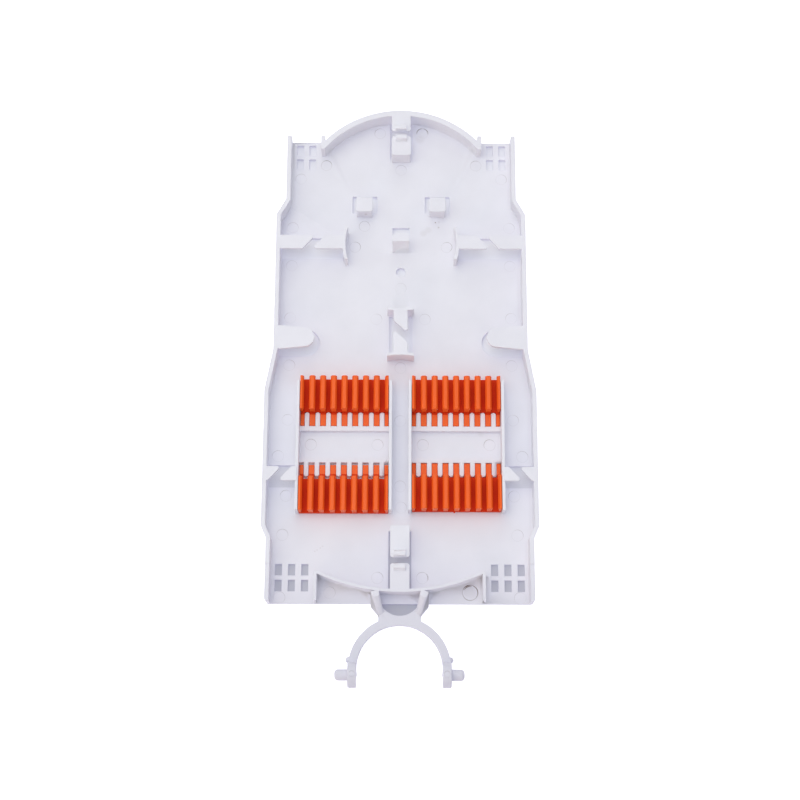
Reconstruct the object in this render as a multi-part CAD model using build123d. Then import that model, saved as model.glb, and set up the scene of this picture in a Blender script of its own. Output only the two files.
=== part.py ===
from build123d import *
import math
import os

# Fibre splice tray with a forked hinge that clips in, and four splice holders, in millimetres.
# The tray is drawn from the middle of its hinge line, just inside its straight hinge edge,
# on the underside: +Y runs from the hinge line to the arched head, +X to the right, +Z up.
# At the end every piece moves so that the origin is under the middle of the whole part.

# Heights above the underside
FLOOR_THICKNESS = 1.6
WALL_HEIGHT = 10.5
BAY_WALL_HEIGHT = 10.0
PLATE_THICKNESS = 1.6
RIDGE_HEIGHT = 1.8

# Tray outline: the widths, and the stretches from the hinge line to the head edge
FOOT_WIDTH = 116.4
BELLY_WIDTH = 121.0
SHOULDER_WIDTH = 114.0
HEAD_WIDTH = 105.6
FOOT_LENGTH = 27.1
FOOT_FLARE = 5.3
BELLY_LENGTH = 61.3
BELLY_TAPER = 19.0
SHOULDER_LENGTH = 64.8
HEAD_TAPER = 7.5
HEAD_LENGTH = 32.0
FOOT_CORNER_CHAMFER = 0.8
HINGE_EDGE_BEYOND_LINE = 0.3
SIDE_WALL = 2.0
SIDE_WALL_SETBACK = 0.4

# Shallow step in the top of each side wall, beside the lower tie windows
STEP_START = 8.9
STEP_LENGTH = 7.0
STEP_DEPTH = 0.6

# Arched wall at the head, and the short post at each end of it
HEAD_ARCH_RADIUS = 48.45
HEAD_ARCH_CENTRE_DROP = 36.0
HEAD_ARCH_WALL = 2.7
HEAD_POST_INSIDE = 35.3
HEAD_POST_WALL = 1.9
HEAD_POST_LENGTH = 6.7

# Bowed wall at the hinge edge, and the straight rib at each end of it
FOOT_ARCH_RADIUS = 84.9
FOOT_ARCH_WALL = 1.35
FOOT_ARCH_OFFSET = 3.6
FOOT_RIB_OUTSIDE = 37.1
FOOT_RIB_SETBACK = 0.2
FOOT_RIB_CORNER = 1.2

# Windows that cable ties pass through, in the four corners of the floor
TIE_WINDOW_WIDTH = 3.05
TIE_WINDOW_LENGTH = 5.0
TIE_WINDOW_PITCH_X = 5.78
TIE_WINDOW_PITCH_Y = 6.95
HEAD_TIE_COLUMNS = 2
FOOT_TIE_COLUMNS = 3
TIE_ROWS = 2
HEAD_TIE_INSET = 4.1
HEAD_TIE_FROM_WALL = 3.6
FOOT_TIE_INSET = 7.65
FOOT_TIE_FROM_WALL = 3.25

# Locating hole through the floor
LOCATING_HOLE_RADIUS = 2.1
LOCATING_HOLE_Y = 152.4

# Tabs that face each other across a slanted slit, so that a fibre slips in sideways
SLIT_GAP = 4.4
SLIT_SLOPE = 0.92
SLIT_BLUNT = 0.45

# Slit clips beside the curved guide walls
GUIDE_CLIP_Y = 163.95
GUIDE_CLIP_DEPTH = 6.5
GUIDE_CLIP_SLIT_X = 39.7
GUIDE_RADIUS = 26.7
GUIDE_WALL = 1.4
GUIDE_LENGTH = 15.6
GUIDE_DROP = 0.55
GUIDE_WINDOW_MARGIN = 1.75

# Slit clips beside the splice bays
BAY_CLIP_DROP = 14.85
BAY_CLIP_DEPTH = 6.3
BAY_CLIP_SLIT_X = 52.8
BAY_CLIP_WINDOW_BELOW = 1.4
BAY_CLIP_WINDOW_ABOVE = 2.3

# Slit clip on the centre line, between two short curved walls
CROSS_CLIP_Y = 121.25
CROSS_CLIP_DEPTH = 6.4
CROSS_CLIP_SPAN = 19.4
CROSS_WALL_LENGTH = 12.0
CROSS_WALL_RADIUS = 33.0
CROSS_WALL = 1.4
CROSS_WINDOW_WIDTH = 10.3

# Round-ended tabs on the side walls
SIDE_TAB_Y = 118.4
SIDE_TAB_ROOT = 11.2
SIDE_TAB_END_RADIUS = 4.5
SIDE_TAB_INSIDE = 38.7
SIDE_TAB_WINDOW_MARGIN = 1.85

# Square hooks that stand in the upper part of the tray
SQUARE_HOOK_X = 16.8
SQUARE_HOOK_FROM_CROWN = 50.05
SQUARE_HOOK_WIDTH = 7.4
SQUARE_HOOK_HEIGHT = 9.0
SQUARE_HOOK_REACH = 7.4
SQUARE_HOOK_TIP_LENGTH = 2.8
SQUARE_HOOK_TIP_DROP = 0.8
SQUARE_HOOK_STEM = 2.2
SQUARE_HOOK_CORNER = 0.5
SQUARE_WINDOW_WIDTH = 11.2
SQUARE_WINDOW_LENGTH = 8.0

# Centre hook with a sloping front
CENTRE_HOOK_Y = 161.8
CENTRE_HOOK_WIDTH = 7.6
CENTRE_HOOK_SLOPE = 2.5
CENTRE_HOOK_REACH = 3.3
CENTRE_HOOK_STEM = 2.0
CENTRE_WINDOW_LENGTH = 9.05

# Latches on the centre line at the head and at the foot: a hook that faces a tab
LATCH_WINDOW_WIDTH = 10.0
LATCH_CORNER = 1.2
LATCH_ROOT_CHAMFER = 0.5
LATCH_RIDGE_WIDTH = 5.0
LATCH_RIDGE_LENGTH = 2.1
LATCH_RIDGE_SLOPE = 0.9
LATCH_RIDGE_INSET = 0.3
LATCH_RIDGE_ROUND = 0.6
LATCH_STEM = 1.8
HEAD_LATCH_WIDTH = 8.8
HEAD_LATCH_FROM_CROWN = 22.55
HEAD_LATCH_REACH = 9.5
HEAD_LATCH_GAP = 2.5
HEAD_HOOK_RIDGE_INSET = -0.2
FOOT_LATCH_WIDTH = 8.4
FOOT_LATCH_Y = 32.8
FOOT_LATCH_REACH = 14.0
FOOT_LATCH_GAP = 2.7
FOOT_LATCH_NOTCH = 0.65

# Splice bays: two, each with a comb toward either end
BAY_X = 24.85
BAY_MIDDLE_Y = 70.6
BAY_INSIDE_WIDTH = 39.7
BAY_INNER_WALL = 1.4
BAY_OUTER_WALL = 1.4
BAY_ABOVE_MIDDLE = 27.9
BAY_BELOW_MIDDLE = 30.9
COMB_HEIGHT = 2.3
COMB_LEDGE_START = 6.0
COMB_LEDGE_WIDTH = 2.2
COMB_TOOTH_WIDTH = 2.05
COMB_TOOTH_LENGTH = 6.3
LOWER_COMB_SHIFT = 0.3

# Splice holders
CHANNELS = 8
CHANNEL_PITCH = 4.78
HOLDER_SIDE_CLEARANCE = 0.2
HOLDER_FINGER_CLEARANCE = 0.11
HOLDER_END_CLEARANCE = 0.2
HOLDER_BASE = 1.8
HOLDER_HEIGHT = 8.4
HOLDER_FIN_LENGTH = 15.3
FIN_STEM_WIDTH = 2.1
FIN_HEAD_WIDTH = 2.85
FIN_TOP_WIDTH = 1.5
FIN_HEAD_RISE = 1.3
FIN_UNDERCUT = 1.2
END_FIN_STEM = 1.2
END_FIN_HEAD = 1.65
END_FIN_TOP = 0.9
LOOSE_HOLDER_SLIP = 0.8

# Hinge fork, with its pins on one axis
FORK_THICKNESS = 4.0
FORK_INNER_RADIUS = 18.5
FORK_ARM = 3.7
FORK_CENTRE_DROP = 28.25
FORK_NECK_WIDTH = 18.6
FORK_NECK_DROP = 5.5
FORK_HORN_WIDTH = 25.2
FORK_HORN_DROP = 1.7
FORK_WAIST_WIDTH = 25.1
FORK_HOLE_RADIUS = 9.3
HORN_RIB_WIDTH = 3.5
HORN_RIB_TOP = 2.9
HORN_RIB_FOOT_DROP = 5.6
HORN_RIB_FOOT_X = 7.9
HORN_RIB_FOOT_WIDTH = 2.8
HORN_RIB_ROUND = 1.5
LUG_RADIUS = 5.5
LUG_INSIDE = 18.5
LUG_WIDTH = 3.75
LUG_EDGE_ROUND = 0.7
PIN_AXIS_DROP = 31.2
PIN_RADIUS = 2.45
PIN_LENGTH = 5.55
PIN_END_ROUND = 1.6
DETENT_RADIUS = 1.35
DETENT_RISE = 6.7

# Stations that follow from the sizes above
TRAY_LENGTH = (
    FOOT_LENGTH + FOOT_FLARE + BELLY_LENGTH + BELLY_TAPER + SHOULDER_LENGTH + HEAD_TAPER + HEAD_LENGTH
)
HEAD_ARCH_CENTRE = TRAY_LENGTH - HEAD_ARCH_CENTRE_DROP
HEAD_CROWN = HEAD_ARCH_CENTRE + HEAD_ARCH_RADIUS
HEAD_LATCH_Y = HEAD_CROWN - HEAD_LATCH_FROM_CROWN
SQUARE_HOOK_Y = HEAD_CROWN - SQUARE_HOOK_FROM_CROWN
HEAD_ARCH_INNER_RADIUS = HEAD_ARCH_RADIUS - HEAD_ARCH_WALL
FOOT_ARCH_CENTRE = FOOT_ARCH_OFFSET + FOOT_ARCH_RADIUS
FOOT_ARCH_INNER_RADIUS = FOOT_ARCH_RADIUS - FOOT_ARCH_WALL
FORK_OUTER_RADIUS = FORK_INNER_RADIUS + FORK_ARM
PLATE_BOTTOM = WALL_HEIGHT - PLATE_THICKNESS
CLEAR_CUT = 1.0
MIDDLE_Y = (HEAD_CROWN - PIN_AXIS_DROP - LUG_RADIUS) / 2


def block(x_from, x_to, y_from, y_to, z_from, z_to):
    """A box between two corners."""
    corner = (Align.MIN, Align.MIN, Align.MIN)
    size = (x_to - x_from, y_to - y_from, z_to - z_from)
    return Pos(x_from, y_from, z_from) * Box(*size, align=corner)


def rectangle(x_from, x_to, y_from, y_to):
    """A flat rectangle between two corners."""
    middle = ((x_from + x_to) / 2, (y_from + y_to) / 2)
    return Pos(*middle) * Rectangle(x_to - x_from, y_to - y_from)


def outline_face(points):
    """A flat face with these corners."""
    return make_face(Polyline(*points, close=True))


def raised(face, z_from, z_to):
    """A flat face made into a solid between two heights."""
    return extrude(Pos(0, 0, z_from) * face, amount=z_to - z_from)


def mirrored(shape):
    """A right-hand shape with its left-hand twin."""
    return shape + mirror(shape, about=Plane.YZ)


def tray_stations():
    """Half widths of the tray outline and their distances from the hinge line."""
    lengths = (FOOT_LENGTH, FOOT_FLARE, BELLY_LENGTH, BELLY_TAPER, SHOULDER_LENGTH, HEAD_TAPER, HEAD_LENGTH)
    widths = (
        FOOT_WIDTH, BELLY_WIDTH, BELLY_WIDTH, SHOULDER_WIDTH, SHOULDER_WIDTH, HEAD_WIDTH, HEAD_WIDTH,
    )
    stations = [(FOOT_WIDTH / 2, -HINGE_EDGE_BEYOND_LINE)]
    y = 0.0
    for length, width in zip(lengths, widths):
        y += length
        stations.append((width / 2, y))
    return stations


def half_width(y):
    """Half width of the tray outline at a distance from the hinge line."""
    stations = tray_stations()
    for (x_low, y_low), (x_high, y_high) in zip(stations, stations[1:]):
        if y <= y_high:
            return x_low + (x_high - x_low) * (y - y_low) / (y_high - y_low)
    return stations[-1][0]


def tray_outline(beyond):
    """The tray outline without its arch, longer at both ends by some length."""
    stations = tray_stations()
    first_y = stations[0][1] - beyond
    right = [(stations[0][0], first_y), *stations[1:-1], (stations[-1][0], TRAY_LENGTH + beyond)]
    left = [(-x, y) for x, y in reversed(right)]
    return outline_face(right + left)


def tie_windows():
    """The windows for cable ties in the four corners, as flat faces."""
    head_x = HEAD_WIDTH / 2 - SIDE_WALL - HEAD_TIE_FROM_WALL
    foot_x = FOOT_WIDTH / 2 - SIDE_WALL - FOOT_TIE_FROM_WALL
    groups = [
        (HEAD_TIE_COLUMNS, head_x, TRAY_LENGTH - HEAD_TIE_INSET, -1),
        (FOOT_TIE_COLUMNS, foot_x, FOOT_TIE_INSET, 1),
    ]
    windows = Sketch()
    for count, first_x, first_y, way in groups:
        for column in range(count):
            for row in range(TIE_ROWS):
                x = first_x - column * TIE_WINDOW_PITCH_X
                y = first_y + way * row * TIE_WINDOW_PITCH_Y
                windows += Pos(x, y) * Rectangle(TIE_WINDOW_WIDTH, TIE_WINDOW_LENGTH)
    return mirrored(windows)


def side_tab_face(margin):
    """A round-ended side tab seen from above, grown by a margin for its window."""
    radius = SIDE_TAB_END_RADIUS + margin
    round_x = SIDE_TAB_INSIDE + SIDE_TAB_END_RADIUS
    root_x = half_width(SIDE_TAB_Y) - SIDE_WALL
    root = radius if margin else SIDE_TAB_ROOT / 2
    corners = [(root_x, -root), (root_x, root), (round_x, radius), (round_x, -radius)]
    tab = outline_face(corners) + Pos(round_x, 0) * Circle(radius)
    if not margin:
        tab += rectangle(root_x, root_x + SIDE_WALL / 2, -root, root)
    return Pos(0, SIDE_TAB_Y) * tab


def clip_windows():
    """The windows under the slit clips and the side tabs, as flat faces."""
    guide_depth = GUIDE_CLIP_DEPTH / 2 + GUIDE_WINDOW_MARGIN
    guide_wall_x = half_width(GUIDE_CLIP_Y) - SIDE_WALL
    guide_low_y = GUIDE_CLIP_Y - guide_depth
    guide_high_y = GUIDE_CLIP_Y + guide_depth
    guide_side = rectangle(GUIDE_RADIUS, guide_wall_x, guide_low_y, guide_high_y)

    bay_clip_y = BAY_MIDDLE_Y - BAY_CLIP_DROP
    bay_wall_x = BAY_X + BAY_INSIDE_WIDTH / 2 + BAY_OUTER_WALL
    low_y = bay_clip_y - BAY_CLIP_DEPTH / 2 - BAY_CLIP_WINDOW_BELOW
    high_y = bay_clip_y + BAY_CLIP_DEPTH / 2 + BAY_CLIP_WINDOW_ABOVE
    bay_side = rectangle(bay_wall_x, half_width(bay_clip_y) - SIDE_WALL, low_y, high_y)

    return mirrored(guide_side + bay_side + side_tab_face(SIDE_TAB_WINDOW_MARGIN))


def centre_windows():
    """The windows under the hooks, the latches and the middle clip, as flat faces."""
    half_span = CROSS_CLIP_SPAN / 2
    half_cross = CROSS_WINDOW_WIDTH / 2
    half_latch = LATCH_WINDOW_WIDTH / 2
    half_square = SQUARE_WINDOW_WIDTH / 2
    half_centre = CENTRE_HOOK_WIDTH / 2
    square_y = SQUARE_HOOK_Y + SQUARE_HOOK_STEM
    centre_y = CENTRE_HOOK_Y + CENTRE_HOOK_STEM + CENTRE_HOOK_SLOPE / 2
    foot_end = FOOT_LATCH_Y - LATCH_STEM + FOOT_LATCH_NOTCH
    square = rectangle(
        SQUARE_HOOK_X - half_square, SQUARE_HOOK_X + half_square, square_y, square_y + SQUARE_WINDOW_LENGTH
    )
    windows = mirrored(square)
    windows += rectangle(-half_cross, half_cross, CROSS_CLIP_Y - half_span, CROSS_CLIP_Y + half_span)
    windows += rectangle(-half_centre, half_centre, centre_y, centre_y + CENTRE_WINDOW_LENGTH)
    windows += rectangle(-half_latch, half_latch, HEAD_LATCH_Y + LATCH_STEM, head_arch_inner_y(half_latch))
    windows += rectangle(-half_latch, half_latch, foot_arch_inner_y(half_latch), foot_end)
    return windows


def head_arch_inner_y(x):
    """Distance of the head arch's inner face from the hinge line, at a distance from the centre line."""
    return HEAD_ARCH_CENTRE + math.sqrt(HEAD_ARCH_INNER_RADIUS**2 - x**2)


def foot_arch_inner_y(x):
    """Distance of the foot arch's inner face from the hinge line, at a distance from the centre line."""
    return FOOT_ARCH_CENTRE - math.sqrt(FOOT_ARCH_INNER_RADIUS**2 - x**2)


def floor_plate():
    """The floor, with every window and hole cut in it."""
    post_y = TRAY_LENGTH - SIDE_WALL_SETBACK - HEAD_POST_LENGTH
    arch_area = rectangle(-HEAD_POST_INSIDE, HEAD_POST_INSIDE, post_y, HEAD_CROWN)
    arch = Pos(0, HEAD_ARCH_CENTRE) * Circle(HEAD_ARCH_RADIUS) & arch_area
    sheet = (tray_outline(0) - arch_area) + arch
    corners = [v for v in sheet.vertices() if v.Y < FOOT_CORNER_CHAMFER]
    sheet = chamfer(corners, FOOT_CORNER_CHAMFER)
    sheet -= tie_windows()
    sheet -= clip_windows()
    sheet -= centre_windows()
    sheet -= Pos(0, LOCATING_HOLE_Y) * Circle(LOCATING_HOLE_RADIUS)
    return raised(sheet, 0, FLOOR_THICKNESS)


def side_walls():
    """The two outer side walls, with the shallow step in the top of each."""
    full = tray_outline(SIDE_WALL)
    inside = offset(full, -SIDE_WALL, kind=Kind.INTERSECTION)
    reach = BELLY_WIDTH
    kept = rectangle(-reach, reach, -HINGE_EDGE_BEYOND_LINE, TRAY_LENGTH - SIDE_WALL_SETBACK)
    band = (full - inside - rectangle(-reach, reach, TRAY_LENGTH, TRAY_LENGTH + SIDE_WALL)) & kept
    near_edge_x = FOOT_WIDTH / 2 - CLEAR_CUT
    corners = [v for v in band.vertices() if v.Y < FOOT_CORNER_CHAMFER and abs(v.X) > near_edge_x]
    walls = raised(chamfer(corners, FOOT_CORNER_CHAMFER), 0, WALL_HEIGHT)
    step_end = STEP_START + STEP_LENGTH
    step_bottom = WALL_HEIGHT - STEP_DEPTH
    return walls - block(-reach, reach, STEP_START, step_end, step_bottom, WALL_HEIGHT + CLEAR_CUT)


def head_arch():
    """The arched wall at the head and its two end posts."""
    end_y = TRAY_LENGTH - SIDE_WALL_SETBACK
    ring = Circle(HEAD_ARCH_RADIUS) - Circle(HEAD_ARCH_INNER_RADIUS)
    area = rectangle(-HEAD_POST_INSIDE, HEAD_POST_INSIDE, HEAD_ARCH_CENTRE, HEAD_CROWN)
    post = rectangle(HEAD_POST_INSIDE, HEAD_POST_INSIDE + HEAD_POST_WALL, end_y - HEAD_POST_LENGTH, end_y)
    wall = (Pos(0, HEAD_ARCH_CENTRE) * ring & area) + mirrored(post)
    return raised(wall, 0, WALL_HEIGHT)


def foot_arch():
    """The bowed wall at the hinge edge and the rib at each end of it."""
    ring = Circle(FOOT_ARCH_RADIUS) - Circle(FOOT_ARCH_INNER_RADIUS)
    area = rectangle(-FOOT_RIB_OUTSIDE, FOOT_RIB_OUTSIDE, 0, FOOT_ARCH_CENTRE)
    corner_y = foot_arch_inner_y(FOOT_RIB_OUTSIDE - FOOT_ARCH_WALL)
    rib = rectangle(FOOT_RIB_OUTSIDE - FOOT_ARCH_WALL, FOOT_RIB_OUTSIDE, FOOT_RIB_SETBACK, corner_y)
    wall = (Pos(0, FOOT_ARCH_CENTRE) * ring & area) + mirrored(rib)
    tips = wall.vertices().sort_by(Axis.Y)[-2:]
    return raised(fillet(tips, FOOT_RIB_CORNER), 0, WALL_HEIGHT)


def slit_edge(slit, v):
    """Where the middle of a slanted slit lies, at a distance to one side of its clip."""
    return slit - SLIT_SLOPE * v


def near_tab_points(root, slit, half_depth):
    """Corners of the tab on the near side of a slit, as (along, across) pairs."""
    tip = slit - SLIT_BLUNT
    tip_v = (slit - SLIT_GAP / 2 - tip) / SLIT_SLOPE
    shoulder = slit_edge(slit, half_depth) - SLIT_GAP / 2
    return [
        (root, half_depth), (shoulder, half_depth), (tip, tip_v),
        (tip, SLIT_BLUNT - half_depth), (tip - SLIT_BLUNT, -half_depth), (root, -half_depth),
    ]


def far_tab_points(root, slit, half_depth):
    """Corners of the tab on the far side of a slit, as (along, across) pairs."""
    nose = slit + SLIT_BLUNT
    nose_v = (slit + SLIT_GAP / 2 - nose) / SLIT_SLOPE
    heel = slit_edge(slit, -half_depth) + SLIT_GAP / 2
    return [
        (root, half_depth), (nose + SLIT_BLUNT, half_depth), (nose, half_depth - SLIT_BLUNT),
        (nose, nose_v), (heel, -half_depth), (root, -half_depth),
    ]


def slit_clip(near_root, far_root, slit, middle_y, depth):
    """Two facing tabs at the height of the wall tops, on the right-hand side."""
    near = outline_face(near_tab_points(near_root, slit, depth / 2))
    far = outline_face(far_tab_points(far_root, slit, depth / 2))
    return raised(Pos(0, middle_y) * (near + far), PLATE_BOTTOM, WALL_HEIGHT)


def guide_clip():
    """The right-hand curved guide wall and the slit clip between it and the side wall."""
    guide_y = GUIDE_CLIP_Y - GUIDE_DROP
    ring = Circle(GUIDE_RADIUS) - Circle(GUIDE_RADIUS - GUIDE_WALL)
    half = GUIDE_LENGTH / 2
    guide = Pos(0, guide_y) * ring & rectangle(0, GUIDE_RADIUS, guide_y - half, guide_y + half)
    wall_x = half_width(GUIDE_CLIP_Y) - SIDE_WALL / 2
    root_x = GUIDE_RADIUS - GUIDE_WALL / 2
    tabs = slit_clip(root_x, wall_x, GUIDE_CLIP_SLIT_X, GUIDE_CLIP_Y, GUIDE_CLIP_DEPTH)
    return raised(guide, 0, WALL_HEIGHT) + tabs


def bay_clip():
    """The right-hand slit clip between the outer bay wall and the side wall."""
    middle_y = BAY_MIDDLE_Y - BAY_CLIP_DROP
    root_x = BAY_X + BAY_INSIDE_WIDTH / 2 + BAY_OUTER_WALL / 2
    wall_x = half_width(middle_y) - SIDE_WALL / 2
    return slit_clip(root_x, wall_x, BAY_CLIP_SLIT_X, middle_y, BAY_CLIP_DEPTH)


def cross_clip():
    """The slit clip on the centre line, carried by two short curved walls."""
    half_span = CROSS_CLIP_SPAN / 2
    ring = Circle(CROSS_WALL_RADIUS) - Circle(CROSS_WALL_RADIUS - CROSS_WALL)
    half_wall = CROSS_WALL_LENGTH / 2
    reach = CROSS_WALL_RADIUS
    low_area = rectangle(-half_wall, half_wall, CROSS_CLIP_Y - reach, CROSS_CLIP_Y)
    high_area = rectangle(-half_wall, half_wall, CROSS_CLIP_Y, CROSS_CLIP_Y + reach)
    low = Pos(0, CROSS_CLIP_Y - half_span - CROSS_WALL_RADIUS) * ring & low_area
    high = Pos(0, CROSS_CLIP_Y + half_span + CROSS_WALL_RADIUS) * ring & high_area

    root = half_span + CROSS_WALL / 2
    near = [(v, u) for u, v in near_tab_points(-root, 0, CROSS_CLIP_DEPTH / 2)]
    far = [(v, u) for u, v in far_tab_points(root, 0, CROSS_CLIP_DEPTH / 2)]
    tabs = Pos(0, CROSS_CLIP_Y) * (outline_face(near) + outline_face(far))
    return raised(low + high, 0, WALL_HEIGHT) + raised(tabs, PLATE_BOTTOM, WALL_HEIGHT)


def side_tab():
    """The right-hand round-ended tab at the height of the wall top."""
    return raised(side_tab_face(0), PLATE_BOTTOM, WALL_HEIGHT)


def square_hook():
    """The right-hand square hook: a stem, and a plate with a thin tip that reaches over its window."""
    top = SQUARE_HOOK_HEIGHT
    under = top - PLATE_THICKNESS
    stem = SQUARE_HOOK_STEM
    reach = SQUARE_HOOK_REACH
    profile = [
        (0, 0), (0, top), (reach - SQUARE_HOOK_TIP_LENGTH, top), (reach, top - SQUARE_HOOK_TIP_DROP),
        (reach, under), (stem, under), (stem, 0),
    ]
    hook = extrude(Plane.YZ * outline_face(profile), amount=SQUARE_HOOK_WIDTH / 2, both=True)
    front = hook.edges().filter_by(Axis.Z).group_by(Axis.Y)[0]
    return Pos(SQUARE_HOOK_X, SQUARE_HOOK_Y, 0) * chamfer(front, SQUARE_HOOK_CORNER)


def centre_hook():
    """The hook with a sloping front, extruded across from its side profile."""
    front_top = CENTRE_HOOK_Y + CENTRE_HOOK_SLOPE
    back_top = front_top + CENTRE_HOOK_REACH
    rise = (PLATE_BOTTOM - FLOOR_THICKNESS) / (WALL_HEIGHT - FLOOR_THICKNESS)
    profile = [
        (CENTRE_HOOK_Y, 0), (CENTRE_HOOK_Y, FLOOR_THICKNESS),
        (front_top, WALL_HEIGHT), (back_top, WALL_HEIGHT), (back_top, PLATE_BOTTOM),
        (CENTRE_HOOK_Y + CENTRE_HOOK_STEM + CENTRE_HOOK_SLOPE * rise, PLATE_BOTTOM),
        (CENTRE_HOOK_Y + CENTRE_HOOK_STEM, FLOOR_THICKNESS), (CENTRE_HOOK_Y + CENTRE_HOOK_STEM, 0),
    ]
    side = Plane.YZ * outline_face(profile)
    return extrude(side, amount=CENTRE_HOOK_WIDTH / 2, both=True)


def latch_plate(width, y_root, y_free, inset=LATCH_RIDGE_INSET):
    """A plate at wall-top height, rounded at its free corners, with a ridge that slopes to its root."""
    low, high = sorted((y_root, y_free))
    way = 1 if y_free > y_root else -1
    face = rectangle(-width / 2, width / 2, low, high)
    face = chamfer([v for v in face.vertices() if abs(v.Y - y_root) < CLEAR_CUT], LATCH_ROOT_CHAMFER)
    free = [v for v in face.vertices() if abs(v.Y - y_free) < CLEAR_CUT]
    plate = raised(fillet(free, LATCH_CORNER), PLATE_BOTTOM, WALL_HEIGHT)

    steep_y = y_free - way * inset
    top_y = steep_y - way * LATCH_RIDGE_LENGTH
    ridge_top = WALL_HEIGHT + RIDGE_HEIGHT
    profile = [
        (steep_y, PLATE_BOTTOM), (steep_y, ridge_top), (top_y, ridge_top),
        (top_y - way * LATCH_RIDGE_SLOPE, WALL_HEIGHT), (top_y - way * LATCH_RIDGE_SLOPE, PLATE_BOTTOM),
    ]
    ridge = extrude(Plane.YZ * outline_face(profile), amount=LATCH_RIDGE_WIDTH / 2, both=True)
    top = ridge.edges().filter_by(Axis.X).group_by(Axis.Z)[-1]
    return plate + fillet(top, LATCH_RIDGE_ROUND)


def latch_stem(width, y_outside, y_inside):
    """The wall that carries a latch's hook, chamfered at its outside corners."""
    low, high = sorted((y_outside, y_inside))
    face = rectangle(-width / 2, width / 2, low, high)
    corners = [v for v in face.vertices() if abs(v.Y - y_outside) < CLEAR_CUT]
    return raised(chamfer(corners, LATCH_ROOT_CHAMFER), 0, WALL_HEIGHT)


def head_latch():
    """The hook near the head and the tab that faces it from the arched wall."""
    hook_end = HEAD_LATCH_Y + HEAD_LATCH_REACH
    arch_y = HEAD_CROWN - HEAD_ARCH_WALL / 2
    stem = latch_stem(HEAD_LATCH_WIDTH, HEAD_LATCH_Y, HEAD_LATCH_Y + LATCH_STEM)
    hook = latch_plate(HEAD_LATCH_WIDTH, HEAD_LATCH_Y, hook_end, HEAD_HOOK_RIDGE_INSET)
    return stem + hook + latch_plate(HEAD_LATCH_WIDTH, arch_y, hook_end + HEAD_LATCH_GAP)


def foot_latch():
    """The long hook near the foot and the tab that faces it from the bowed wall."""
    hook_end = FOOT_LATCH_Y - FOOT_LATCH_REACH
    arch_y = FOOT_ARCH_OFFSET + FOOT_ARCH_WALL / 2
    stem = latch_stem(FOOT_LATCH_WIDTH, FOOT_LATCH_Y, FOOT_LATCH_Y - LATCH_STEM)
    hook = latch_plate(FOOT_LATCH_WIDTH, FOOT_LATCH_Y, hook_end)
    return stem + hook + latch_plate(FOOT_LATCH_WIDTH, arch_y, hook_end - FOOT_LATCH_GAP)


def channel_centres():
    """Distances of the channels from the middle of a bay."""
    return [(index - (CHANNELS - 1) / 2) * CHANNEL_PITCH for index in range(CHANNELS)]


def comb_face():
    """One comb from above: a ledge with a round-tipped tooth at each channel."""
    half_width_x = BAY_INSIDE_WIDTH / 2
    ledge_end = COMB_LEDGE_START + COMB_LEDGE_WIDTH
    comb = rectangle(-half_width_x, half_width_x, COMB_LEDGE_START, ledge_end)
    half_tooth = COMB_TOOTH_WIDTH / 2
    round_y = ledge_end + COMB_TOOTH_LENGTH - half_tooth
    for x in channel_centres():
        comb += rectangle(x - half_tooth, x + half_tooth, ledge_end, round_y)
        comb += Pos(x, round_y) * Circle(half_tooth)
    return comb


def bay():
    """The right-hand splice bay: its two walls and its two combs."""
    inner_x = BAY_X - BAY_INSIDE_WIDTH / 2
    outer_x = BAY_X + BAY_INSIDE_WIDTH / 2
    y_from = BAY_MIDDLE_Y - BAY_BELOW_MIDDLE
    y_to = BAY_MIDDLE_Y + BAY_ABOVE_MIDDLE
    walls = block(inner_x - BAY_INNER_WALL, inner_x, y_from, y_to, 0, BAY_WALL_HEIGHT)
    walls += block(outer_x, outer_x + BAY_OUTER_WALL, y_from, y_to, 0, BAY_WALL_HEIGHT)
    comb = comb_face()
    combs = comb + Pos(0, -LOWER_COMB_SHIFT) * mirror(comb, about=Plane.XZ)
    return walls + raised(Pos(BAY_X, BAY_MIDDLE_Y) * combs, 0, FLOOR_THICKNESS + COMB_HEIGHT)


def fork_plate():
    """The flat of the hinge fork: two horns, a neck and a half ring."""
    neck = FORK_NECK_WIDTH / 2
    ring_y = -FORK_CENTRE_DROP
    join_y = ring_y + math.sqrt(FORK_OUTER_RADIUS**2 - neck**2) - CLEAR_CUT
    right = [
        (FORK_HORN_WIDTH / 2, FOOT_ARCH_OFFSET), (FORK_WAIST_WIDTH / 2, -FORK_HORN_DROP),
        (neck, -FORK_NECK_DROP), (neck, join_y),
    ]
    left = [(-x, y) for x, y in reversed(right)]
    plate = outline_face(right + left)
    plate -= Pos(0, FOOT_ARCH_OFFSET) * Circle(FORK_HOLE_RADIUS)
    ring = Circle(FORK_OUTER_RADIUS) - Circle(FORK_INNER_RADIUS)
    kept = rectangle(-FORK_OUTER_RADIUS, FORK_OUTER_RADIUS, -PIN_AXIS_DROP, 0)
    plate -= Pos(0, ring_y) * Circle(FORK_INNER_RADIUS)
    return raised(plate + (Pos(0, ring_y) * ring & kept), 0, FORK_THICKNESS)


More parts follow.
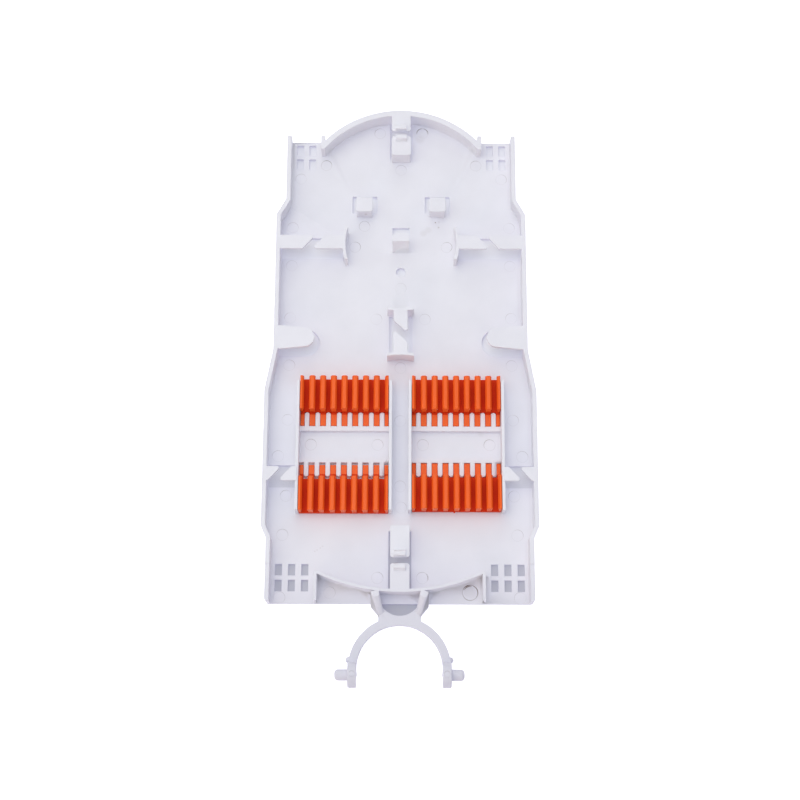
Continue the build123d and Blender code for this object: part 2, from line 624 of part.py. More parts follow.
def horn_rib():
    """The right-hand rib that braces the fork against the bowed wall: it narrows to a round foot."""
    root_y = FOOT_ARCH_OFFSET + FOOT_ARCH_WALL / 2
    top_x = (FORK_HORN_WIDTH - HORN_RIB_WIDTH) / 2
    rib_length = root_y + HORN_RIB_FOOT_DROP
    profile = [
        (0, 0), (0, WALL_HEIGHT), (-HORN_RIB_TOP, WALL_HEIGHT),
        (-rib_length, FORK_THICKNESS), (-rib_length, 0),
    ]
    rib = extrude(Plane.YZ * outline_face(profile), amount=HORN_RIB_WIDTH / 2, both=True)
    slope = rib.faces().sort_by(Axis.Z)[-2]
    rib = fillet(slope.edges().filter_by(Axis.X, reverse=True), HORN_RIB_ROUND)

    half_top = HORN_RIB_WIDTH / 2
    half_foot = HORN_RIB_FOOT_WIDTH / 2
    foot_y = half_foot - rib_length
    plan = outline_face([(-half_top, 0), (half_top, 0), (half_foot, foot_y), (-half_foot, foot_y)])
    rib &= raised(plan + Pos(0, foot_y) * Circle(half_foot), 0, WALL_HEIGHT)
    lean = math.degrees(math.atan2(top_x - HORN_RIB_FOOT_X, rib_length))
    return Pos(top_x, root_y, 0) * Rot(0, 0, -lean) * rib


def fork_end():
    """The right-hand lug with its hinge pin and the detent bump above it."""
    axis = Pos(LUG_INSIDE, -PIN_AXIS_DROP, LUG_RADIUS) * Rot(0, 90, 0)
    low = (Align.CENTER, Align.CENTER, Align.MIN)
    lug = Cylinder(LUG_RADIUS, LUG_WIDTH, align=low)
    lug = fillet(lug.edges().filter_by(GeomType.CIRCLE).sort_by(Axis.Z)[-1], LUG_EDGE_ROUND)
    pin = Cylinder(PIN_RADIUS, LUG_WIDTH + PIN_LENGTH, align=low)
    pin = fillet(pin.edges().sort_by(Axis.Z)[-1], PIN_END_ROUND)
    bump_y = DETENT_RISE - PIN_AXIS_DROP
    bump_x = math.sqrt(FORK_OUTER_RADIUS**2 - (bump_y + FORK_CENTRE_DROP) ** 2)
    bump = Pos(bump_x, bump_y, FORK_THICKNESS / 2) * Sphere(DETENT_RADIUS)
    return axis * (lug + pin) + bump


def tray_body():
    """The whole moulded tray."""
    body = floor_plate()
    for piece in (side_walls(), head_arch(), foot_arch(), cross_clip()):
        body += piece
    for piece in (centre_hook(), head_latch(), foot_latch()):
        body += piece
    for piece in (guide_clip(), bay_clip(), side_tab(), square_hook(), bay(), horn_rib(), fork_end()):
        body += mirrored(piece)
    return body + fork_plate()


def fin_side(stem, head, top):
    """One side of a fin's section, upwards: its widths at the stem, the head and the top."""
    head_z = HOLDER_HEIGHT - FIN_HEAD_RISE
    return [(stem, 0), (stem, head_z - FIN_UNDERCUT), (head, head_z), (top, HOLDER_HEIGHT)]


def fin():
    """One fin of a holder, along +Y: a stem with a bevelled head."""
    right = fin_side(FIN_STEM_WIDTH / 2, FIN_HEAD_WIDTH / 2, FIN_TOP_WIDTH / 2)
    left = [(-x, z) for x, z in reversed(right)]
    return extrude(Plane.XZ * outline_face(right + left), amount=-HOLDER_FIN_LENGTH)


def end_fin(outside_x):
    """The right-hand end fin of a holder, along +Y: half a fin with a flat outside."""
    inward = fin_side(END_FIN_STEM, END_FIN_HEAD, END_FIN_TOP)
    section = [(outside_x - x, z) for x, z in inward] + [(outside_x, HOLDER_HEIGHT), (outside_x, 0)]
    return extrude(Plane.XZ * outline_face(section), amount=-HOLDER_FIN_LENGTH)


def splice_holder():
    """One splice holder, with its fingers toward -Y and its underside at z = 0."""
    half_x = BAY_INSIDE_WIDTH / 2 - HOLDER_SIDE_CLEARANCE
    finger = CHANNEL_PITCH - COMB_TOOTH_WIDTH - 2 * HOLDER_FINGER_CLEARANCE
    plate_start = COMB_LEDGE_START + COMB_LEDGE_WIDTH + COMB_TOOTH_LENGTH + HOLDER_END_CLEARANCE
    finger_start = COMB_LEDGE_START + COMB_LEDGE_WIDTH + HOLDER_END_CLEARANCE
    plate_end = plate_start + HOLDER_FIN_LENGTH
    last_tooth = channel_centres()[-1] + COMB_TOOTH_WIDTH / 2 + HOLDER_FINGER_CLEARANCE

    base = rectangle(-half_x, half_x, plate_start, plate_end)
    base += mirrored(rectangle(last_tooth, half_x, finger_start, plate_start))
    for x in channel_centres()[1:]:
        middle = x - CHANNEL_PITCH / 2
        base += rectangle(middle - finger / 2, middle + finger / 2, finger_start, plate_start)
    holder = raised(base, 0, HOLDER_BASE)

    for x in channel_centres()[1:]:
        holder += Pos(x - CHANNEL_PITCH / 2, plate_start, 0) * fin()
    return holder + Pos(0, plate_start, 0) * mirrored(end_fin(half_x))


def placed_holders():
    """The four holders in their bays, by name."""
    upper = splice_holder()
    lower = Pos(0, -LOWER_COMB_SHIFT, 0) * Rot(0, 0, 180) * upper
    slipped = Pos(0, -LOOSE_HOLDER_SLIP, 0) * lower
    left = Pos(-BAY_X, BAY_MIDDLE_Y, FLOOR_THICKNESS)
    right = Pos(BAY_X, BAY_MIDDLE_Y, FLOOR_THICKNESS)
    return {
        "splice_holder_upper_left": left * upper,
        "splice_holder_upper_right": right * upper,
        "splice_holder_lower_left": left * slipped,
        "splice_holder_lower_right": right * lower,
    }


def main():
    os.makedirs("parts", exist_ok=True)
    pieces = {"tray_body": tray_body(), **placed_holders()}
    for name, piece in pieces.items():
        export_step(Pos(0, -MIDDLE_Y, 0) * piece, f"parts/{name}.step")


main()
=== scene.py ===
import math
import random

import bmesh
import bpy
from mathutils import Matrix, Vector
from mathutils.bvhtree import BVHTree

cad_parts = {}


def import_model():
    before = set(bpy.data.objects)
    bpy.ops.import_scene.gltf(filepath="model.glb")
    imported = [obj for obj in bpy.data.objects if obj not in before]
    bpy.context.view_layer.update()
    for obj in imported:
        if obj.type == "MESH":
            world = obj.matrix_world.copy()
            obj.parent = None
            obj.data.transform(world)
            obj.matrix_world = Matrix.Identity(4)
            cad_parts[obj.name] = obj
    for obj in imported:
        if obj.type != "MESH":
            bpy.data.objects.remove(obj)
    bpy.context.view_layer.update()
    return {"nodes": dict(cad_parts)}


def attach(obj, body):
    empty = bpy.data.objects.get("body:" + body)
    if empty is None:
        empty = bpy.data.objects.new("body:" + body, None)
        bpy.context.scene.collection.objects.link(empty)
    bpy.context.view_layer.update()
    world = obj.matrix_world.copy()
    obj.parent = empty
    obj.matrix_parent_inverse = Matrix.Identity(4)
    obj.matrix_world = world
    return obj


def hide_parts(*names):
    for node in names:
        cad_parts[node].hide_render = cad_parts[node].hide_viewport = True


MM = 0.001

# How the outside edges of a CAD mesh are rounded. A face is wrong where its direction agrees less than
# AGREEMENT with the true surface's, or where it lies FAR_OFF from it. Then the edges within CLEARANCE
# widths of it stay sharp, and the rounding is tried again.
TRAY_EDGE = 0.18 * MM
HOLDER_EDGE = 0.15 * MM
EDGE_SEGMENTS = 2
EDGE_PROFILE = 0.5
SHARP_ANGLE = math.radians(35)
WELD_DISTANCE = 0.002 * MM
BEVEL_TRIES = 5
CLEARANCE = 3
SLIVER_AREA = 1e-12
AGREEMENT = 0.3
FAR_OFF = 0.25 * MM

# How the rounded mesh is shaded
SHADING_ANGLE = math.radians(24)
LARGE_FACE_WEIGHT = 100

# The photograph: 800 pixels a side, a long lens, the camera on the hinge side and well above the tray
PHOTO_PIXELS = 800
SENSOR_MM = 36.0
LENS_MM = 72.0
CLIP_START = 0.01
CLIP_END = 20
CAMERA_DISTANCE = 720 * MM
CAMERA_FROM_VERTICAL = math.radians(15.6)
CAMERA_ROLL = math.radians(0.19)
AIM_Y = -4.375 * MM
CENTRE_PIXEL_X = 400.33

# Heights on the tray, in millimetres
FLOOR_TOP = 1.6
LUG_TOP = 11.0
HOOK_FACE = 5.5
HOOK_TOP = 10.0

# Round marks that the ejector pins left, in millimetres: across, along, and how dark the ring's arc is.
# The arc's middle and spread are drawn from ARC_MIDDLES and ARC_SPREADS, in degrees, and the rest of the
# ring has FAINT_SHARE of its tone. The dark arc is partly dirt in the ring's step and partly painted shade
# along its edge.
MARK_RADIUS = 2.65
MARK_WIDTH = 0.24
MARK_RISE = 0.03
MARK_SINK = 0.03
MARK_SHOULDER = 0.2
MARK_SEGMENTS = 72
MARK_SEED = 7
ARC_MIDDLES = (30, 150)
ARC_SPREADS = (50, 100)
FAINT_SHARE = 0.22
PAIRED_MARKS = [
    (34.9, 109.0, 0.6), (46.7, 102.1, 0.35), (21.1, 68.3, 0.55), (50.0, 77.8, 0.3),
    (50.1, 59.1, 0.25), (50.3, 33.8, 0.3), (11.0, 33.3, 0.3), (50.2, 11.3, 0.35), (50.4, -14.2, 0.35),
    (54.3, -30.9, 0.4), (39.8, -25.6, 0.6), (10.1, -25.6, 0.45), (50.4, -48.9, 0.45), (51.6, -66.4, 0.4),
    (52.3, -94.0, 0.3),
]
SINGLE_MARKS = [
    (-9.9, 125.3, 0.55), (9.9, 125.3, 0.4), (9.8, -85.3, 0.45), (-16.8, 78.6, 0.45), (0.0, 106.7, 0.4),
    (0.0, 48.2, 0.2), (0.0, 10.2, 0.3), (0.0, -14.6, 0.3), (0.0, -44.5, 0.3), (0.4, -54.1, 0.25),
    (-9.8, -85.3, 0.45), (-30.5, -91.8, 0.35),
]

# The same on top of the two lugs, with one arc's middle and spread for both
LUG_MARK = (20.25, -127.6)
LUG_MARK_RADIUS = 1.35
LUG_MARK_TONE = 0.3
LUG_ARC = (90, 90)

# Burnt rings, in millimetres and degrees: across, along, radius, width, rise, and the darkness, middle and
# spread of each arc. One of them lies over another.
BURNT_RISE = 0.012
BURNT_RISE_OVER = 0.014
BURNT_MARKS = [
    (9.9, 125.3, 2.9, 0.6, BURNT_RISE, [(0.85, 135, 50), (1.0, 38, 45)]),
    (30.6, -91.7, 3.6, 0.55, BURNT_RISE_OVER, [(1.0, 115, 50), (0.9, 25, 75), (0.45, 250, 130)]),
    (30.6, -91.7, 3.1, 0.55, BURNT_RISE, [(1.0, 115, 42)]),
    (9.8, -85.3, 2.75, 0.5, BURNT_RISE, [(0.9, 8, 40)]),
    (-16.8, 78.6, 2.65, 0.4, BURNT_RISE, [(0.5, 40, 45)]),
    (-34.9, 109.0, 2.7, 0.42, BURNT_RISE, [(0.55, 90, 110)]),
    (21.1, 68.3, 2.65, 0.38, BURNT_RISE, [(0.5, 95, 35), (0.6, -30, 25)]),
]

# Spots on the tray, in millimetres: across, along, height, radius and depth of tone. A spot has its full
# depth out to SPOT_CORE of its radius.
SPOTS = [
    (15.98, 80.56, FLOOR_TOP, 0.45, 0.85), (17.4, 78.13, FLOOR_TOP, 0.6, 0.35),
    (12.7, 76.8, FLOOR_TOP, 2.2, 0.10), (10.4, 75.2, FLOOR_TOP, 2.2, 0.11),
    (17.6, 80.8, FLOOR_TOP, 0.8, 0.12), (19.5, 82.5, FLOOR_TOP, 0.6, 0.14),
    (3.75, 77.7, FLOOR_TOP, 0.6, 0.25), (3.6, 69.9, HOOK_TOP, 0.6, 0.22),
    (-16.2, 83.05, HOOK_FACE, 1.0, 0.35), (8.8, 122.4, FLOOR_TOP, 3.0, 0.10),
    (36.0, -20.0, FLOOR_TOP, 2.2, 0.10), (-37.2, -73.7, FLOOR_TOP, 0.5, 0.16),
    (-36.2, -73.1, FLOOR_TOP, 0.5, 0.14), (-34.8, -72.2, FLOOR_TOP, 0.5, 0.14),
    (-33.8, -71.4, FLOOR_TOP, 0.5, 0.14),
]
SPOT_CORE = 0.3

# Specks all over the tray: cells to a metre, size as a share of a cell, the share of cells that have one,
# and their tone. Cells are chosen by a random number, with a step SPECK_CUT wide at the choice.
SPECK_CELLS = 160
SPECK_SIZE = 0.026
SPECK_SHARE = 0.08
SPECK_TONE = 0.45
SPECK_CUT = 0.002

# The torn sprue on the lower right holder's edge, in millimetres: its root, length, and radius at each end
STUB_PLACE = (23.94, -56.0, 2.6)
STUB_LENGTH = 0.6
STUB_RADII = (0.5, 0.22)
STUB_SEGMENTS = 12

# The tray's white plastic, with painted shade greying it toward the hinge over the hinge fade. A cloud and
# a grain are the scales of noises, to a metre, and a relief is the strength and distance of the grain's
# bump.
TRAY_WHITE = (0.865, 0.859, 0.922)
TRAY_GREY = (0.835, 0.829, 0.892)
HINGE_PAINTED_SHADE = (0.735, 0.725, 0.805)
HINGE_SHADE_FADE = (-120 * MM, -70 * MM)
SPOT_BROWN = (0.36, 0.29, 0.26)
# The marks' dark brown: burn and dirt, and on the faint marks' arcs partly painted shade
MARK_BURN_DIRT_AND_SHADE_BROWN = (0.16, 0.10, 0.08)
TRAY_CLOUD = 70
TRAY_GRAIN = 1600
TRAY_ROUGHNESS = (0.42, 0.52)
TRAY_SPECULAR = 0.4
TRAY_RELIEF = (0.12, 0.00006)

# The holders' orange plastic, with painted shade darkening it and lowering its specular down in the
# channels. The tongues in the middle of each bay lie in the open, so the painted shade is left off them
# and they have the fins' tone.
HOLDER_ORANGE = (0.97, 0.138, 0.016)
HOLDER_SHADE_AND_PATCH = (0.74, 0.050, 0.009)
CHANNEL_SHADE_HEIGHTS = (3.4 * MM, 6.0 * MM)
BAY_MIDDLE = -25.8 * MM
TONGUE_REACH = 13.6 * MM
PATCH_TONE = (0.10, 0)
HOLDER_CLOUD = 120
HOLDER_GRAIN = 1400
HOLDER_ROUGHNESS = (0.36, 0.46)
HOLDER_SPECULAR = (0.04, 0.28)
HOLDER_RELIEF = (0.10, 0.00005)

# Detail of the noises, and the parts of their range that are used
CLOUD_DETAIL = 4
GRAIN_DETAIL = 2
CLOUD_TONES = (0.35, 0.65)
CLOUD_GLOSS = (0.3, 0.7)

# The ground: overexposed white outside, and a pale sheet seen through the holes, with painted shade
# greying it near the hinge.
# Reach and depths are in millimetres, and so are the corners of the sheet's right half.
GROUND_WHITE = (0.93, 0.93, 0.95)
GROUND_GLOW = 0.75
GROUND_ROUGHNESS = 0.9
GROUND_DEPTH = 0.3
GROUND_REACH = 10000.0
SHEET_PALE = (0.90, 0.90, 0.93)
SHEET_PAINTED_SHADE = (0.56, 0.56, 0.61)
SHEET_SHADE_FADE = (-95 * MM, -5 * MM)
SHEET_DEPTH = 0.02
SHEET_CORNERS = [
    (8.5, -102.8), (11.5, -98.0), (11.5, -96.4), (57.4, -96.2), (57.4, -69.5), (59.8, -64.0), (59.8, -3.0),
    (56.3, 15.5), (56.3, 80.5), (52.1, 88.0), (52.1, 121.3), (35.0, 121.3), (25.0, 126.0), (12.0, 131.0),
]

# Soft boxes: direction round the tray from its right side, elevation, both in degrees, watts and colour
SOFT_BOX_DISTANCE = 1.5
SOFT_BOX_SIZE = 0.8
SOFT_BOXES = {
    "overhead": (0, 90, 3.5, (0.74, 0.83, 1.0)),
    "back_left_high": (120, 65, 1.9, (1.0, 0.92, 0.62)),
    "left": (180, 38, 1.3, (0.90, 1.0, 0.92)),
    "left_high": (180, 65, 2.0, (0.98, 1.0, 0.92)),
    "front_left_low": (240, 14, 3.4, (1.0, 0.74, 0.50)),
    "back": (90, 38, 2.3, (1.0, 1.0, 0.93)),
}

# The sky, and the light that the ground sends back, blended over this range of a direction's height
SKY = (0.535, 0.537, 0.565)
BOUNCE = (0.65, 0.645, 0.83)
HORIZON = (-0.05, 0.05)

# Sockets of a colour mix
MIX_FACTOR = 0
MIX_FIRST = 6
MIX_SECOND = 7
MIX_RESULT = 2


def make_material(name):
    """A new material with its node tree and shader."""
    material = bpy.data.materials.new(name)
    material.use_nodes = True
    tree = material.node_tree
    return material, tree, tree.nodes["Principled BSDF"]


def object_space(tree):
    """Object coordinates, in metres."""
    return tree.nodes.new("ShaderNodeTexCoord").outputs["Object"]


def place_part(tree, place, axis):
    """One of a place's three coordinates."""
    split = tree.nodes.new("ShaderNodeSeparateXYZ")
    tree.links.new(place, split.inputs[0])
    return split.outputs[axis]


def noise(tree, place, scale, detail):
    """A noise texture."""
    texture = tree.nodes.new("ShaderNodeTexNoise")
    texture.inputs["Scale"].default_value = scale
    texture.inputs["Detail"].default_value = detail
    tree.links.new(place, texture.inputs["Vector"])
    return texture.outputs["Fac"]


def ranged(tree, value, source, target, smooth=False):
    """A value carried from one range to another."""
    node = tree.nodes.new("ShaderNodeMapRange")
    node.interpolation_type = "SMOOTHSTEP" if smooth else "LINEAR"
    for name, number in zip(("From Min", "From Max", "To Min", "To Max"), (*source, *target)):
        node.inputs[name].default_value = number
    tree.links.new(value, node.inputs["Value"])
    return node.outputs["Result"]


def mixed(tree, factor, first, second):
    """One colour laid over another by a factor. Each is a colour or a socket."""
    node = tree.nodes.new("ShaderNodeMix")
    node.data_type = "RGBA"
    tree.links.new(factor, node.inputs[MIX_FACTOR])
    for number, colour in ((MIX_FIRST, first), (MIX_SECOND, second)):
        if isinstance(colour, tuple):
            node.inputs[number].default_value = (*colour, 1)
        else:
            tree.links.new(colour, node.inputs[number])
    return node.outputs[MIX_RESULT]


def combined(tree, operation, first, second):
    """Two values joined by a product, a maximum or the like."""
    node = tree.nodes.new("ShaderNodeMath")
    node.operation = operation
    tree.links.new(first, node.inputs[0])
    tree.links.new(second, node.inputs[1])
    return node.outputs[0]


def add_grain(tree, shader, place, scale, relief):
    """Fine relief."""
    strength, distance = relief
    bump = tree.nodes.new("ShaderNodeBump")
    bump.inputs["Strength"].default_value = strength
    bump.inputs["Distance"].default_value = distance
    tree.links.new(noise(tree, place, scale, GRAIN_DETAIL), bump.inputs["Height"])
    tree.links.new(bump.outputs["Normal"], shader.inputs["Normal"])


def specks(tree, place):
    """One on small round specks, each in its own cell, and zero round them."""
    cell = tree.nodes.new("ShaderNodeTexVoronoi")
    cell.inputs["Scale"].default_value = SPECK_CELLS
    tree.links.new(place, cell.inputs["Vector"])
    near = ranged(tree, cell.outputs["Distance"], (SPECK_SIZE / 2, SPECK_SIZE), (1, 0), smooth=True)
    split = tree.nodes.new("ShaderNodeSeparateColor")
    tree.links.new(cell.outputs["Color"], split.inputs["Color"])
    cut = 1 - SPECK_SHARE
    chosen = ranged(tree, split.outputs["Red"], (cut - SPECK_CUT, cut), (0, 1))
    return combined(tree, "MULTIPLY", near, chosen)


def spot(tree, place, middle, radius, depth):
    """The tone of a soft round spot: its depth in the middle, and zero from its radius on."""
    offset = tree.nodes.new("ShaderNodeVectorMath")
    offset.operation = "DISTANCE"
    offset.inputs[1].default_value = middle
    tree.links.new(place, offset.inputs[0])
    return ranged(tree, offset.outputs["Value"], (radius * SPOT_CORE, radius), (depth, 0), smooth=True)


def white_colour(tree, place):
    """The tray's faintly mottled white with painted shade greying it toward the hinge, and the noise that
    it is made of.
    """
    cloud = noise(tree, place, TRAY_CLOUD, CLOUD_DETAIL)
    colour = mixed(tree, ranged(tree, cloud, CLOUD_TONES, (0, 1)), TRAY_GREY, TRAY_WHITE)
    # Painted shade: the white greys toward the hinge
    hinge_shade_fade = ranged(tree, place_part(tree, place, "Y"), HINGE_SHADE_FADE, (0, 1), smooth=True)
    return mixed(tree, hinge_shade_fade, HINGE_PAINTED_SHADE, colour), cloud


def finish_tray(tree, shader, place, colour, cloud):
    """Gives the tray's shader its colour, satin gloss and grain."""
    tree.links.new(colour, shader.inputs["Base Color"])
    tree.links.new(ranged(tree, cloud, CLOUD_GLOSS, TRAY_ROUGHNESS), shader.inputs["Roughness"])
    shader.inputs["Specular IOR Level"].default_value = TRAY_SPECULAR
    add_grain(tree, shader, place, TRAY_GRAIN, TRAY_RELIEF)


def tray_plastic():
    """White moulded plastic: satin, faintly mottled, with a few specks and spots."""
    material, tree, shader = make_material("tray_plastic")
    place = object_space(tree)
    colour, cloud = white_colour(tree, place)
    for x, y, z, radius, depth in SPOTS:
        tone = spot(tree, place, (x * MM, y * MM, z * MM), radius * MM, depth)
        colour = mixed(tree, tone, colour, SPOT_BROWN)
    tone = ranged(tree, specks(tree, place), (0, 1), (0, SPECK_TONE))
    colour = mixed(tree, tone, colour, SPOT_BROWN)
    finish_tray(tree, shader, place, colour, cloud)
    return material


def marked_plastic():
    """The tray's plastic at the ring of an ejector mark, darkened by the mesh's own tone: burn and dirt,
    and on the faint marks' arcs partly painted shade.
    """
    material, tree, shader = make_material("ejector_mark")
    place = object_space(tree)
    colour, cloud = white_colour(tree, place)
    tone = tree.nodes.new("ShaderNodeAttribute")
    tone.attribute_name = "tone"
    colour = mixed(tree, tone.outputs["Fac"], colour, MARK_BURN_DIRT_AND_SHADE_BROWN)
    finish_tray(tree, shader, place, colour, cloud)
    return material


def open_tongues(tree, place):
    """One on the holders' tongues, near the middle of a bay, which the painted channel shade leaves out,
    and zero past them.
    """
    near = tree.nodes.new("ShaderNodeMath")
    near.operation = "COMPARE"
    tree.links.new(place_part(tree, place, "Y"), near.inputs[0])
    near.inputs[1].default_value = BAY_MIDDLE
    near.inputs[2].default_value = TONGUE_REACH
    return near.outputs[0]


def holder_plastic():
    """Opaque orange moulded plastic, with painted shade darkening it down in the channels."""
    material, tree, shader = make_material("holder_plastic")
    place = object_space(tree)
    # Painted shade: the orange darkens toward the channel floors, except on the open tongues, and its
    # specular drops there too
    height = ranged(tree, place_part(tree, place, "Z"), CHANNEL_SHADE_HEIGHTS, (0, 1), smooth=True)
    light = combined(tree, "MAXIMUM", height, open_tongues(tree, place))
    colour = mixed(tree, light, HOLDER_SHADE_AND_PATCH, HOLDER_ORANGE)
    cloud = noise(tree, place, HOLDER_CLOUD, CLOUD_DETAIL)
    colour = mixed(tree, ranged(tree, cloud, CLOUD_TONES, PATCH_TONE), colour, HOLDER_SHADE_AND_PATCH)
    tree.links.new(colour, shader.inputs["Base Color"])
    tree.links.new(ranged(tree, cloud, CLOUD_GLOSS, HOLDER_ROUGHNESS), shader.inputs["Roughness"])
    specular = ranged(tree, light, (0, 1), HOLDER_SPECULAR)
    tree.links.new(specular, shader.inputs["Specular IOR Level"])
    add_grain(tree, shader, place, HOLDER_GRAIN, HOLDER_RELIEF)
    return material


def floor_white():
    """The overexposed white ground round the tray."""
    material, _, shader = make_material("floor_white")
    shader.inputs["Base Color"].default_value = (*GROUND_WHITE, 1)
    shader.inputs["Roughness"].default_value = GROUND_ROUGHNESS
    shader.inputs["Specular IOR Level"].default_value = 0.0
    shader.inputs["Emission Color"].default_value = (1.0, 1.0, 1.0, 1)
    shader.inputs["Emission Strength"].default_value = GROUND_GLOW
    return material


def sheet_with_painted_shade():
    """The pale matt sheet under the tray, with painted shade greying it toward the hinge."""
    material, tree, shader = make_material("sheet_with_painted_shade")
    # Painted shade: the sheet greys toward the hinge
    share = ranged(tree, place_part(tree, object_space(tree), "Y"), SHEET_SHADE_FADE, (0, 1), smooth=True)
    tree.links.new(mixed(tree, share, SHEET_PAINTED_SHADE, SHEET_PALE), shader.inputs["Base Color"])
    shader.inputs["Roughness"].default_value = GROUND_ROUGHNESS
    shader.inputs["Specular IOR Level"].default_value = 0.0
    return material


def near_edge(edge, place, reach):
    """Whether a place is within reach of an edge."""
    start, end = (corner.co for corner in edge.verts)
    run = end - start
    along = max(0.0, min(1.0, (place - start).dot(run) / run.length_squared))
    return (start + run * along - place).length < reach


def rounded_once(node, edge_width, left_sharp):
    """A node's mesh with its outside edges rounded, apart from those near the places left sharp."""
    mesh = bmesh.new()
    mesh.from_mesh(node.data)
    bmesh.ops.remove_doubles(mesh, verts=mesh.verts, dist=WELD_DISTANCE)
    rounded = [
        edge for edge in mesh.edges
        if len(edge.link_faces) == 2 and edge.is_convex and edge.calc_face_angle() > SHARP_ANGLE
        and not any(near_edge(edge, place, CLEARANCE * edge_width) for place in left_sharp)
    ]
    bmesh.ops.bevel(
        mesh, geom=rounded, offset=edge_width, offset_type="OFFSET", segments=EDGE_SEGMENTS,
        profile=EDGE_PROFILE, affect="EDGES", clamp_overlap=False, loop_slide=False,
    )
    return mesh


def wrong_places(mesh, surface):
    """The middles of the faces that a rounding turned over or threw off the true surface."""
    probe = mesh.copy()
    bmesh.ops.triangulate(probe, faces=probe.faces[:], ngon_method="BEAUTY")
    places = []
    for face in probe.faces:
        if face.calc_area() < SLIVER_AREA:
            continue
        middle = face.calc_center_median()
        _, normal, _, distance = surface.find_nearest(middle)
        if face.normal.dot(normal) < AGREEMENT or distance > FAR_OFF:
            places.append(middle)
    probe.free()
    return places


def keep_in_box(mesh, node):
    """Moves any corner that the rounding pushed out of its node's box back to the box."""
    for axis in range(3):
        places = [corner.co[axis] for corner in node.data.vertices]
        low, high = min(places), max(places)
        for corner in mesh.verts:
            corner.co[axis] = max(low, min(high, corner.co[axis]))


def softened(node, edge_width):
    """A node's mesh with its outside edges rounded as a mould leaves them, where the shape has room."""
    source = bmesh.new()
    source.from_mesh(node.data)
    surface = BVHTree.FromBMesh(source)
    source.free()
    left_sharp = []
    for _ in range(BEVEL_TRIES):
        mesh = rounded_once(node, edge_width, left_sharp)
        wrong = wrong_places(mesh, surface)
        if not wrong:
            break
        left_sharp += wrong
    keep_in_box(mesh, node)
    return mesh


def finished_mesh(name, build):
    """A mesh of what was built."""
    mesh = bpy.data.meshes.new(name)
    build.to_mesh(mesh)
    build.free()
    return mesh


def new_piece(name, mesh, material):
    """A new mesh object that rides on the tray."""
    piece = bpy.data.objects.new(name, mesh)
    bpy.context.scene.collection.objects.link(piece)
    mesh.materials.append(material)
    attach(piece, "root")
    return piece


def add_moulding(name, node_name, node, material, edge_width):
    """The visible copy of a CAD node: the same shape with its outside edges rounded."""
    mesh = finished_mesh(name, softened(node, edge_width))
    mesh.shade_smooth()
    mesh.set_sharp_from_angle(angle=SHADING_ANGLE)
    piece = new_piece(name, mesh, material)
    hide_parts(node_name)
    weighted = piece.modifiers.new("even_faces", "WEIGHTED_NORMAL")
    weighted.keep_sharp = True
    weighted.weight = LARGE_FACE_WEIGHT


def ring_tone(angle, faint, arcs):
    """How dark a ring is at an angle, in degrees: faint all round, and dark in the middle of each arc."""
    tones = [faint]
    for dark, middle, spread in arcs:
        away = abs((angle - middle + 180) % 360 - 180)
        tones.append(faint + (dark - faint) * math.sqrt(max(0.0, 1.0 - away / spread)))
    return max(tones)


def add_mark(mesh, tone, place, radius, width, rise, faint, arcs):
    """One round mark: a thin low ring, sunk a little into the plastic and darker along its arcs."""
    shoulder = MARK_SHOULDER * width
    section = [
        (radius, -MARK_SINK), (radius - shoulder, rise),
        (radius - width + shoulder, rise), (radius - width, -MARK_SINK),
    ]
    rows = []
    for out_by, up_by in section:
        row = []
        for step in range(MARK_SEGMENTS):
            angle = math.tau * step / MARK_SEGMENTS
            offset = Vector((out_by * math.cos(angle), out_by * math.sin(angle), up_by))
            corner = mesh.verts.new((Vector(place) + offset) * MM)
            corner[tone] = ring_tone(math.degrees(angle), faint, arcs)
            row.append(corner)
        rows.append(row)
    for low, high in zip(rows, rows[1:] + rows[:1]):
        for step in range(MARK_SEGMENTS):
            after = (step + 1) % MARK_SEGMENTS
            mesh.faces.new((low[step], low[after], high[after], high[step]))


def add_ejector_marks(material):
    """Every ejector mark on the tray's floor and on its lugs, as one piece."""
    draw = random.Random(MARK_SEED)
    build = bmesh.new()
    tone = build.verts.layers.float.new("tone")
    places = [(side * x, y, dark) for x, y, dark in PAIRED_MARKS for side in (-1, 1)]
    for x, y, dark in places + SINGLE_MARKS:
        # Partly painted shade: each dark arc lies on the step's edge toward the back, and partly dirt in
        # the step
        arcs = [(dark, draw.uniform(*ARC_MIDDLES), draw.uniform(*ARC_SPREADS))]
        place = (x, y, FLOOR_TOP)
        add_mark(build, tone, place, MARK_RADIUS, MARK_WIDTH, MARK_RISE, FAINT_SHARE * dark, arcs)
    for x, y, radius, width, rise, arcs in BURNT_MARKS:
        add_mark(build, tone, (x, y, FLOOR_TOP), radius, width, rise, 0.0, arcs)
    faint = FAINT_SHARE * LUG_MARK_TONE
    for side in (-1, 1):
        place = (side * LUG_MARK[0], LUG_MARK[1], LUG_TOP)
        arcs = [(LUG_MARK_TONE, *LUG_ARC)]
        add_mark(build, tone, place, LUG_MARK_RADIUS, MARK_WIDTH, MARK_RISE, faint, arcs)
    piece = new_piece("ejector_marks", finished_mesh("ejector_marks", build), material)


def add_sprue_stub(material):
    """The torn end of the sprue on the edge of one holder: a short tapered stub that points along -Y."""
    build = bmesh.new()
    root_radius, tip_radius = STUB_RADII
    bmesh.ops.create_cone(
        build, cap_ends=True, segments=STUB_SEGMENTS, radius1=root_radius * MM, radius2=tip_radius * MM,
        depth=STUB_LENGTH * MM, matrix=Matrix.Rotation(math.radians(90), 4, "X"),
    )
    middle = Vector(STUB_PLACE) - Vector((0, STUB_LENGTH / 2, 0))
    bmesh.ops.translate(build, verts=build.verts, vec=middle * MM)
    piece = new_piece("sprue_stub", finished_mesh("sprue_stub", build), material)


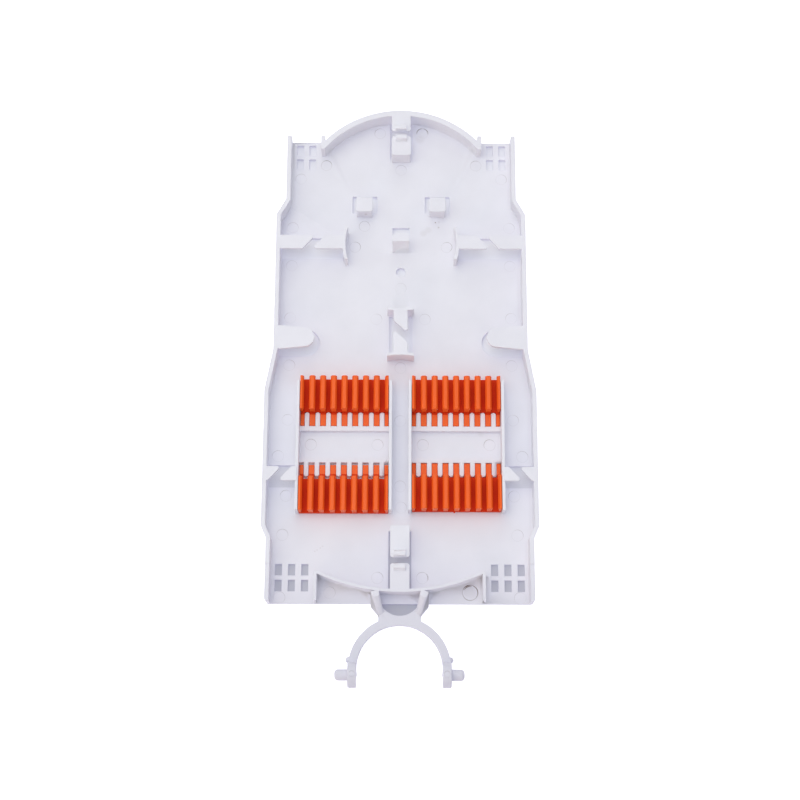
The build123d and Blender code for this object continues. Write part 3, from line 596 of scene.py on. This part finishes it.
def add_camera():
    """The camera at the photograph's place."""
    data = bpy.data.cameras.new("camera")
    data.sensor_width = SENSOR_MM
    data.lens = LENS_MM
    data.shift_x = (PHOTO_PIXELS / 2 - CENTRE_PIXEL_X) / PHOTO_PIXELS
    data.clip_start = CLIP_START
    data.clip_end = CLIP_END
    camera = bpy.data.objects.new("camera", data)
    bpy.context.scene.collection.objects.link(camera)
    sine = math.sin(CAMERA_FROM_VERTICAL)
    cosine = math.cos(CAMERA_FROM_VERTICAL)
    right = Vector((1, 0, 0))
    up = Vector((0, cosine, sine))
    back = Vector((0, -sine, cosine))
    turn = Matrix((right, up, back)).transposed().to_4x4()
    place = Matrix.Translation(Vector((0, AIM_Y, 0)) + back * CAMERA_DISTANCE)
    camera.matrix_world = place @ turn @ Matrix.Rotation(CAMERA_ROLL, 4, "Z")
    bpy.context.scene.camera = camera


def add_soft_box(name, azimuth, elevation, watts, colour):
    """A square soft box that points at the tray."""
    turn = math.radians(azimuth)
    rise = math.radians(elevation)
    way = Vector((math.cos(turn) * math.cos(rise), math.sin(turn) * math.cos(rise), math.sin(rise)))
    data = bpy.data.lights.new(name, "AREA")
    data.shape = "SQUARE"
    data.size = SOFT_BOX_SIZE
    data.energy = watts
    data.color = colour
    light = bpy.data.objects.new(name, data)
    light.location = way * SOFT_BOX_DISTANCE
    light.rotation_euler = (-way).to_track_quat("-Z", "Y").to_euler()
    bpy.context.scene.collection.objects.link(light)


def add_ground(name, corners_mm, depth, material):
    """One flat sheet of ground. It lights nothing, because the sky's lower half stands for its bounce."""
    build = bmesh.new()
    build.faces.new([build.verts.new((x * MM, y * MM, -depth * MM)) for x, y in corners_mm])
    mesh = finished_mesh(name, build)
    mesh.materials.append(material)
    ground = bpy.data.objects.new(name, mesh)
    ground.visible_diffuse = False
    bpy.context.scene.collection.objects.link(ground)


def add_sky():
    """An even sky, and below the horizon the light that the ground sends back."""
    world = bpy.data.worlds.new("sky")
    world.use_nodes = True
    tree = world.node_tree
    way = tree.nodes.new("ShaderNodeTexCoord").outputs["Generated"]
    upper = ranged(tree, place_part(tree, way, "Z"), HORIZON, (0, 1))
    tree.links.new(mixed(tree, upper, BOUNCE, SKY), tree.nodes["Background"].inputs["Color"])
    bpy.context.scene.world = world


def add_studio():
    """The ground, the soft boxes and the sky."""
    square = [(x * GROUND_REACH, y * GROUND_REACH) for x, y in ((-1, -1), (1, -1), (1, 1), (-1, 1))]
    add_ground("studio_floor", square, GROUND_DEPTH, floor_white())
    under_tray = SHEET_CORNERS + [(-x, y) for x, y in reversed(SHEET_CORNERS)]
    add_ground("sheet_under_tray", under_tray, SHEET_DEPTH, sheet_with_painted_shade())
    for name, settings in SOFT_BOXES.items():
        add_soft_box(name, *settings)
    add_sky()
    bpy.context.scene.view_settings.view_transform = "Standard"


def main():
    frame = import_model()
    white = tray_plastic()
    orange = holder_plastic()
    for name, node in frame["nodes"].items():
        if name == "tray_body":
            add_moulding("tray_moulding", name, node, white, TRAY_EDGE)
        else:
            add_moulding(f"{name}_moulding", name, node, orange, HOLDER_EDGE)
    add_ejector_marks(marked_plastic())
    add_sprue_stub(orange)
    add_camera()
    add_studio()


main()
